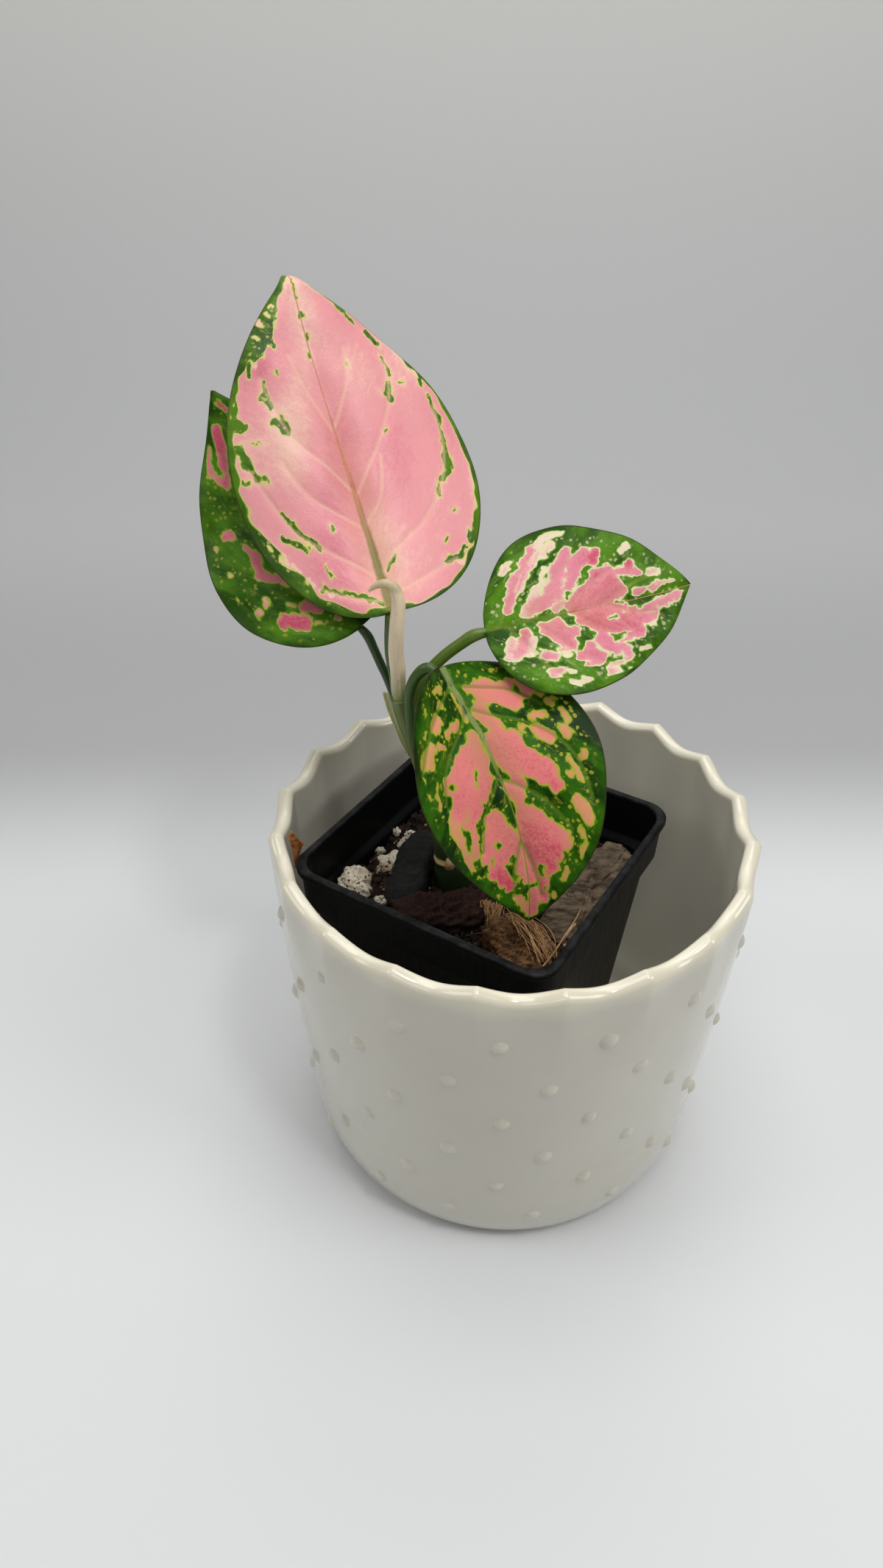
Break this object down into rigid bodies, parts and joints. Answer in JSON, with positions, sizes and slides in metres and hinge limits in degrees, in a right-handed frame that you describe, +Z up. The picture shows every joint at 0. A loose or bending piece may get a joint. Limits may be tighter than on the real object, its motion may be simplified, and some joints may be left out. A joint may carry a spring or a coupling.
{
  "type": "potted pink star chinese evergreen",
  "caption": "Young aglaonema with pink variegated leaves, a rolled new leaf and a leaning cane, in a square nursery pot set in a scalloped white ceramic pot with raised dots.",
  "frame": {"origin": "centre of the ceramic pot's flat base, on the surface that it stands on", "axes": "+Z up through the pot's centre, -Y towards the side that the front leaf hangs over, +X to the right seen from there"},
  "size_m": [0.1466, 0.1314, 0.2335],
  "materials": {
    "glazed_ceramic": "glossy white glaze, warmer ivory on the lip",
    "nursery_plastic": "black injection-moulded plastic, satin, with a scuffed rim",
    "potting_mix": "dark damp peat crumb with fibres and fine grit",
    "bark": "grey-brown weathered bark, cracked, with reddish broken sides",
    "charcoal": "dark grey, matt and fine grained",
    "dark_husk": "dark red-brown coconut husk, finely ribbed",
    "husk": "tan coconut husk with loose orange-brown fibres",
    "perlite": "off-white, chalky and pitted",
    "cane": "smooth satin green stem with pale leaf-scar rings",
    "sheath": "thin pale green papery sheath, a little translucent",
    "new_leaf": "satin cream-pink rolled leaf with a green foot and a brown fold",
    "pale_leaf": "satin pale pink leaf with cream veins, green flecks and a green edge",
    "deep_leaf": "satin dark green leaf with rose and salmon pink blotches and a green edge",
    "dry_leaf": "dry orange-brown leaf scrap, crisp"
  },
  "bodies": {
    "root": {"ceramic_pot": "glazed_ceramic", "nursery_pot": "nursery_plastic", "potting_mix": "potting_mix", "bark_chip": "bark", "charcoal_chip": "charcoal", "husk_chip_dark": "dark_husk", "husk_chip": "husk", "perlite_1": "perlite", "perlite_2": "perlite", "perlite_3": "perlite", "perlite_4": "perlite", "perlite_5": "perlite", "perlite_6": "perlite", "perlite_7": "perlite", "cane": "cane", "papery_sheath": "sheath", "new_leaf": "new_leaf", "leaf_large": "pale_leaf", "leaf_left": "deep_leaf", "leaf_right": "deep_leaf", "leaf_front": "deep_leaf", "dry_scrap_left": "dry_leaf", "dry_scrap_back": "dry_leaf"}
  },
  "joints": []
}
